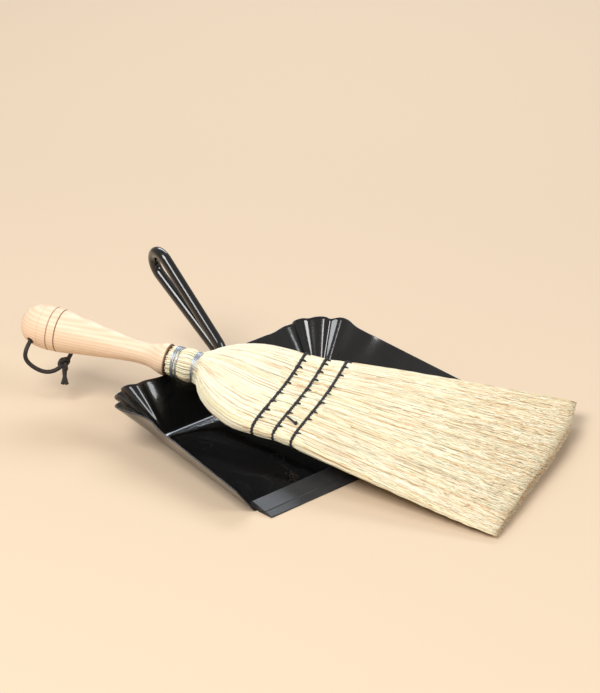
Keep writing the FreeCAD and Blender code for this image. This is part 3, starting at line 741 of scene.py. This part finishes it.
def head_point(s, angle, depth):
    """Points inside the head: distance from the neck, direction in the section, depth inside."""
    half_width, shift, half_thick = (smooth_table(s, HEAD[:, 0], HEAD[:, k]) for k in (1, 2, 3))
    c = np.cos(angle)
    q = np.sin(angle)
    y_share = np.sign(c) * np.abs(c) ** (2 / ROUNDNESS)
    z_share = np.sign(q) * np.abs(q) ** (2 / ROUNDNESS)
    y = shift + half_width * y_share
    for row in ROWS:
        depth = depth + ROW_DENT * np.exp(-((s - row_place(row, y, y_share)) / 3.6) ** 2)
    y = shift + np.maximum(half_width - depth, 0.3) * y_share
    z = np.maximum(half_thick - depth, 0.1) * z_share
    return np.stack([s + 0 * y, y, z], axis=-1)


def even_angles(fractions, s=110.0):
    """Directions spread evenly along the section's outline."""
    angle = np.linspace(0, 2 * math.pi, 4001)
    outline = head_point(np.full(angle.shape, s), angle, 0.0)
    run = np.concatenate([[0], np.cumsum(np.linalg.norm(np.diff(outline, axis=0), axis=1))])
    return np.interp(np.mod(fractions, 1.0) * run[-1], run, angle) \
        + 2 * math.pi * np.floor(fractions)


def wander(count, t, waves, size):
    """Smooth random sideways drift for each strand along its length t."""
    phase = rng.uniform(0, 2 * math.pi, (count, 1))
    rate = waves * rng.uniform(0.7, 1.4, (count, 1))
    return size * np.sin(2 * math.pi * rate * t + phase)


# how far the straw reaches, at sideways places
TIP_EDGE = ((-112, -78, -37, 16, 64, 110), (274.0, 276.0, 277.5, 281.0, 281.5, 274.5))


def straw_piece(name, finish, count, first, last, ragged, depth, width, flat, widths, drift, crimp,
                steps=30, sides=4):
    """Straws along the head; first and last are where they start and end, tip straws end at
    the head's edge, and depth is how far under the surface they lie."""
    t = np.linspace(0, 1, steps)[None]
    fraction = rng.uniform(0, 1, count)[:, None]
    y_end = head_point(np.full((count, 1), 270.0), even_angles(fraction), 0.0)[..., 1]
    edge = np.interp(y_end, *TIP_EDGE)
    end = np.minimum(last[:, None], edge - np.abs(rng.normal(0, ragged, count))[:, None])
    s = first[:, None] + (end - first[:, None]) * t
    ease = np.clip((s - 8.0) / 70.0, 0, 1)
    growth = np.clip((s - 95.0) / 150.0, 0, 1)
    fraction = fraction + wander(count, t, 0.8, drift) * ease
    fraction = fraction + crimp * 0.0016 * growth * wander(count, s / 15.0, 1.0, 1.0)
    deep = depth[:, None] + wander(count, t, 1.3, 0.3) * ease
    deep = deep + crimp * 0.35 * growth * wander(count, s / 17.0, 1.0, 1.0)
    local = head_point(s, even_angles(fraction), deep)
    middle = np.stack([s, local[..., 1] * 0.97, np.zeros_like(s)], axis=-1)
    outward = unit(local - middle) @ HEAD_AXES
    world = on_head(local)
    half = width[:, None] * np.interp(s, *widths)
    world[..., 2] = np.maximum(world[..., 2], GROUND + half)
    points, faces, fibre = strands(world, outward, half, half * flat, sides,
                                   rng.uniform(0, 1, count))
    return mesh_piece(name, points, faces, finish, "broom", {"fibre": fibre})


STALK_WIDTHS = ((-4, 10, 40, 80, 110, 180, 280), (0.34, 0.66, 0.95, 0.95, 0.80, 0.55, 0.34))
FIBRE_WIDTHS = ((0, 100, 200, 280), (0.50, 0.50, 0.42, 0.30))
BED_STEPS = 70
BED_SIDES = 120
BED_DEPTH = ((-3, 30, 150, 240, 268), (0.9, 1.4, 1.6, 2.0, 3.0))


def end_caps(steps, sides):
    """The two flat ends of a grid of points that is closed round."""
    return [np.arange(sides)[None], (np.arange(sides)[::-1] + (steps - 1) * sides)[None]]


def straw_bed_painted_shade():
    """A bed under the strands, which closes the gaps between them; its darker straw is painted shade in
    those gaps.
    """
    s = np.linspace(-3, 268, BED_STEPS)
    angle = even_angles(np.arange(BED_SIDES) / BED_SIDES)
    local = head_point(s[:, None] + 0 * angle[None], angle[None], np.interp(s, *BED_DEPTH)[:, None])
    fibre = np.zeros((BED_STEPS, BED_SIDES, 3))
    fibre[..., 0] = rng.uniform(0, 1, BED_SIDES)[None]
    fibre[..., 1] = s[:, None] * MM
    faces = [grid_faces(BED_STEPS, BED_SIDES, wrap_columns=True), *end_caps(BED_STEPS, BED_SIDES)]
    piece = mesh_piece("straw_bed_painted_shade", on_head(local.reshape(-1, 3)), faces, bed_straw_painted_shade, "broom",
                       {"fibre": fibre.reshape(-1, 3)})
    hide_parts("head_core", "shoulder_near", "shoulder_far", "cover_upper", "cover_lower")


straw_bed_painted_shade()
STALKS = 560            # broad outer straws over the shoulders
FIBRES = 1000           # finer straws, in each of three pieces
TIP_FIBRES = 2600
PAST_TIPS = 290.0       # longer than the head, so that the edge ends every straw
straw_piece("straw_stalks", stalk_straw, STALKS, rng.uniform(-3.5, -2.0, STALKS),
            rng.uniform(150, 270, STALKS), 3.0, rng.uniform(0.2, 1.3, STALKS),
            rng.uniform(0.8, 1.25, STALKS), 0.5, STALK_WIDTHS, 0.0025, 0.5, steps=34, sides=6)
for part, finish in enumerate((stalk_straw, stalk_straw, tip_straw), 1):
    straw_piece(f"straw_fibres_{part}", finish, FIBRES, rng.uniform(60, 175, FIBRES),
                np.full(FIBRES, PAST_TIPS), 2.5, rng.uniform(-0.1, 1.6, FIBRES),
                rng.uniform(0.7, 1.2, FIBRES), 0.7, FIBRE_WIDTHS, 0.004, 1.0)
straw_piece("straw_tip_fibres", tip_straw, TIP_FIBRES, rng.uniform(205, 245, TIP_FIBRES),
            np.full(TIP_FIBRES, PAST_TIPS), 3.0, rng.uniform(0.2, 6.0, TIP_FIBRES),
            rng.uniform(0.8, 1.2, TIP_FIBRES), 0.8, FIBRE_WIDTHS, 0.002, 1.2, steps=10)

# ---- collar of straw ends ---------------------------------------------------------------------------
COLLAR = np.array([(122.9, 11.2), (127.0, 11.6), (129.2, 11.2), (131.0, 11.4), (132.2, 11.2),
                   (136.0, 12.4), (140.5, 13.0), (144.0, 12.0), (146.0, 10.9), (149.3, 10.8)])
COLLAR_END = 149.0
COLLAR_STRAWS = 95


def collar_radius(s):
    return smooth_table(s, COLLAR[:, 0], COLLAR[:, 1])


def collar_straws():
    n = COLLAR_STRAWS
    turn = (np.arange(n) + rng.uniform(-0.3, 0.3, n)) * FULL_TURN / n
    start = 122.8 + rng.uniform(0, 2.6, n)
    t = np.linspace(0, 1, 26)[None]
    s = start[:, None] + (COLLAR_END - start)[:, None] * t
    radius = collar_radius(s) - rng.uniform(0.1, 0.9, n)[:, None]
    swing = turn[:, None] + rng.normal(0, 0.03, n)[:, None] * t
    local = np.stack([s, radius * np.cos(swing), radius * np.sin(swing)], axis=-1)
    outward = np.stack([0 * s, np.cos(swing), np.sin(swing)], axis=-1) @ HANDLE_AXES
    width = rng.uniform(0.45, 0.85, n)[:, None] * np.interp(s, (123, 136, 149), (1.0, 1.15, 0.9))
    points, faces, fibre = strands(on_handle(local), outward, width, width * 0.6, 6,
                                   rng.uniform(0, 1, n))
    mesh_piece("collar_straws", points, faces, stalk_straw, "broom", {"fibre": fibre})


def collar_bed():
    """A closed core under the collar's straws; its darker bed straw is painted shade between them."""
    steps, sides = 30, 60
    ring = np.arange(sides) * FULL_TURN / sides
    s = np.linspace(123.0, COLLAR_END, steps)
    radius = collar_radius(s)[:, None] - 1.3
    points = np.stack([s[:, None] + 0 * ring, radius * np.cos(ring), radius * np.sin(ring)], axis=-1)
    fibre = np.zeros((steps, sides, 3))
    fibre[..., 0] = rng.uniform(0, 1, sides)[None]
    fibre[..., 1] = s[:, None] * MM
    piece = mesh_piece("collar_bed", on_handle(points.reshape(-1, 3)),
                       [grid_faces(steps, sides, wrap_columns=True), *end_caps(steps, sides)],
                       bed_straw_painted_shade, "broom", {"fibre": fibre.reshape(-1, 3)})
    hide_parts("collar_straw")


collar_straws()
collar_bed()

# ---- binding wires -----------------------------------------------------------------------------------
WIRE_RADIUS = 0.58
# each winding's start, pitch, turns, radius and unevenness
UPPER_WINDINGS = ((127.9, 1.2, 2.3, 12.15, 0.06), (132.0, 0.3, 1.05, 11.95, 0.08))
NECK_WINDINGS = ((144.9, 1.13, 4.2, 11.75, 0.08),)


def coil(start, pitch, turns, radius, wobble):
    a = np.linspace(0, FULL_TURN * turns, int(90 * turns))
    r = radius + wobble * np.sin(a * 3.3 + 1.0)
    return np.stack([start + pitch * a / FULL_TURN, r * np.cos(a), r * np.sin(a)], axis=1)


for name, windings, hidden in (("upper_wire_turns", UPPER_WINDINGS, "upper_wire"),
                               ("neck_wire_turns", NECK_WINDINGS, "neck_wire")):
    points, faces, fibre = joined([tube(on_handle(coil(*winding)), WIRE_RADIUS, 12)
                                   for winding in windings])
    wire = mesh_piece(name, points, faces, wire_metal, "broom", {"fibre": fibre})
    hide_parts(hidden)

# ---- stitching ------------------------------------------------------------------------------------------
PLY_RADIUS = 0.80
PLY_PITCH = 5.5
STITCHES = 9
# a lock stitch from end to end: how far past the row, and how high over the straw
LOCK_LINE = ((-1.2, -0.6), (-0.6, 0.9), (0.0, 1.8), (0.9, 1.7), (2.0, 1.0), (3.0, 0.4), (3.8, -0.9))
# the loose end: along the head, sideways, and height over the straw
LOOSE_END = ((88.0, -43.0, 0.4), (90.5, -44.6, 1.6), (93.5, -46.0, 1.4), (97.5, -47.6, 1.0))


def row_path(row, count, lift):
    """A row's way round the head."""
    angle = even_angles((np.arange(count) + 0.5) / count, row)
    share = np.sign(np.cos(angle)) * np.abs(np.cos(angle)) ** (2 / ROUNDNESS)
    first = head_point(np.full(count, row), angle, -lift)
    return head_point(row_place(row, first[:, 1], share), angle, -lift)


def twisted(path, closed, tone):
    """Two plies wound round a path in the head's axes."""
    step = np.roll(path, -1, 0) - path if closed else np.gradient(path, axis=0)
    along = unit(step)
    run = np.concatenate([[0], np.cumsum(np.linalg.norm(step, axis=1))[:-1]])
    total = run[-1] + np.linalg.norm(step[-1])
    turns = max(round(total / PLY_PITCH), 1)
    a = 2 * math.pi * turns * run / total
    side = unit(np.cross(along, np.array([1.0, 0.013, 0.021])))
    up = np.cross(along, side)
    plies = []
    for shift in (0.0, math.pi):
        off = side * np.cos(a + shift)[:, None] + up * np.sin(a + shift)[:, None]
        plies.append(tube(on_head(path + off * PLY_RADIUS * 0.72), PLY_RADIUS, 7, closed, tone))
    return plies


def smoothed(points, steps):
    """A smooth line through a few points."""
    knots = np.arange(len(points))
    at = np.linspace(0, len(points) - 1, steps)
    return np.stack([smooth_table(at, knots, np.array(points)[:, k]) for k in range(3)], axis=1)


def over_straw(s, angle, lift):
    return head_point(np.array([s]), np.array([angle]), np.array([-lift]))[0]


def lock_stitches():
    shapes = []
    for row in ROWS:
        half_width = float(smooth_table(np.array([row]), HEAD[:, 0], HEAD[:, 1])[0])
        for i in range(STITCHES):
            for face in (1, -1):
                y_share = 0.88 * (2 * (i + 0.15 * rng.normal()) / (STITCHES - 1) - 1)
                angle = face * math.acos(math.copysign(min(abs(y_share), 0.97) ** (ROUNDNESS / 2),
                                                       y_share))
                slant = rng.uniform(0.4, 1.5)
                points = []
                for reach, lift in LOCK_LINE:
                    s = row_place(row, half_width * y_share, y_share) + reach
                    here = over_straw(s, angle, lift)
                    here[1] += slant * reach / 4
                    points.append(here)
                line = smoothed(points, 19)
                shapes.append(tube(on_head(line), 0.78, 8, tone=rng.uniform(0, 1)))
    points, faces, fibre = joined(shapes)
    piece = mesh_piece("lock_stitch_loops", points, faces, twine_black, "broom",
                       {"fibre": fibre})
    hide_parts("lock_stitches")


def loose_end():
    """The middle row's loose end, tied off in a small loop."""
    half_width = 63.0
    points = [over_straw(s, math.acos(-(abs(y) / half_width) ** (ROUNDNESS / 2)), lift)
              for s, y, lift in LOOSE_END]
    line = smoothed(points, 22)
    lap = np.linspace(0, FULL_TURN, 90, endpoint=False)
    loop = line[-1] + np.stack([np.cos(lap) * 1.0 + 0.2, np.sin(lap) * 1.1, 0.5 * np.sin(2 * lap)],
                               axis=1)
    points, faces, fibre = joined([tube(on_head(line), 0.8, 8),
                                   tube(on_head(loop), 0.75, 8, closed=True)])
    piece = mesh_piece("twine_loose_end", points, faces, twine_black, "broom",
                       {"fibre": fibre})
    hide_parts("twine_tail")


for number, row in enumerate(ROWS, 1):
    points, faces, fibre = joined(twisted(row_path(row, 420, 0.55), True, 0.3))
    row_piece = mesh_piece(f"twine_row_{number}", points, faces, twine_black, "broom",
                           {"fibre": fibre})
    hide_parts(f"stitch_twine_{number}")
lock_stitches()
loose_end()


# ---- floor and light ---------------------------------------------------------------------------------
def floor():
    mesh = bpy.data.meshes.new("floor")
    half = 12.0
    corners = [(-half, -half, 0), (half, -half, 0), (half, half, 0), (-half, half, 0)]
    mesh.from_pydata(corners, [], [(0, 1, 2, 3)])
    made, tree, shader = material("floor", Base_Color=(0.66, 0.52, 0.38, 1.0), Roughness=0.85,
                                  Specular_IOR_Level=0.15)
    mesh.materials.append(made)
    piece = bpy.data.objects.new("floor", mesh)
    bpy.context.scene.collection.objects.link(piece)


def soft_light(name, place, size, power, colour):
    """A rectangular light that looks at the middle of the pan."""
    light = bpy.data.lights.new(name, "AREA")
    light.shape = "RECTANGLE"
    light.size, light.size_y = size
    light.energy = power
    light.color = colour
    piece = bpy.data.objects.new(name, light)
    piece.location = place
    piece.rotation_euler = (-Vector(place)).to_track_quat("-Z", "Y").to_euler()
    bpy.context.scene.collection.objects.link(piece)


floor()
world = bpy.data.worlds.new("studio")
bpy.context.scene.world = world
world.use_nodes = True
background = world.node_tree.nodes["Background"]
background.inputs["Color"].default_value = (0.90, 0.86, 0.82, 1.0)
background.inputs["Strength"].default_value = 0.42
soft_light("key", (-1.3, -0.2, 1.7), (1.1, 1.1), 42.0, (1.0, 0.99, 0.97))
soft_light("fill", (0.5, -1.6, 1.3), (0.9, 0.7), 14.0, (0.95, 0.98, 1.0))
soft_light("back", (1.1, 1.0, 1.2), (1.4, 0.5), 16.0, (0.84, 0.92, 1.0))
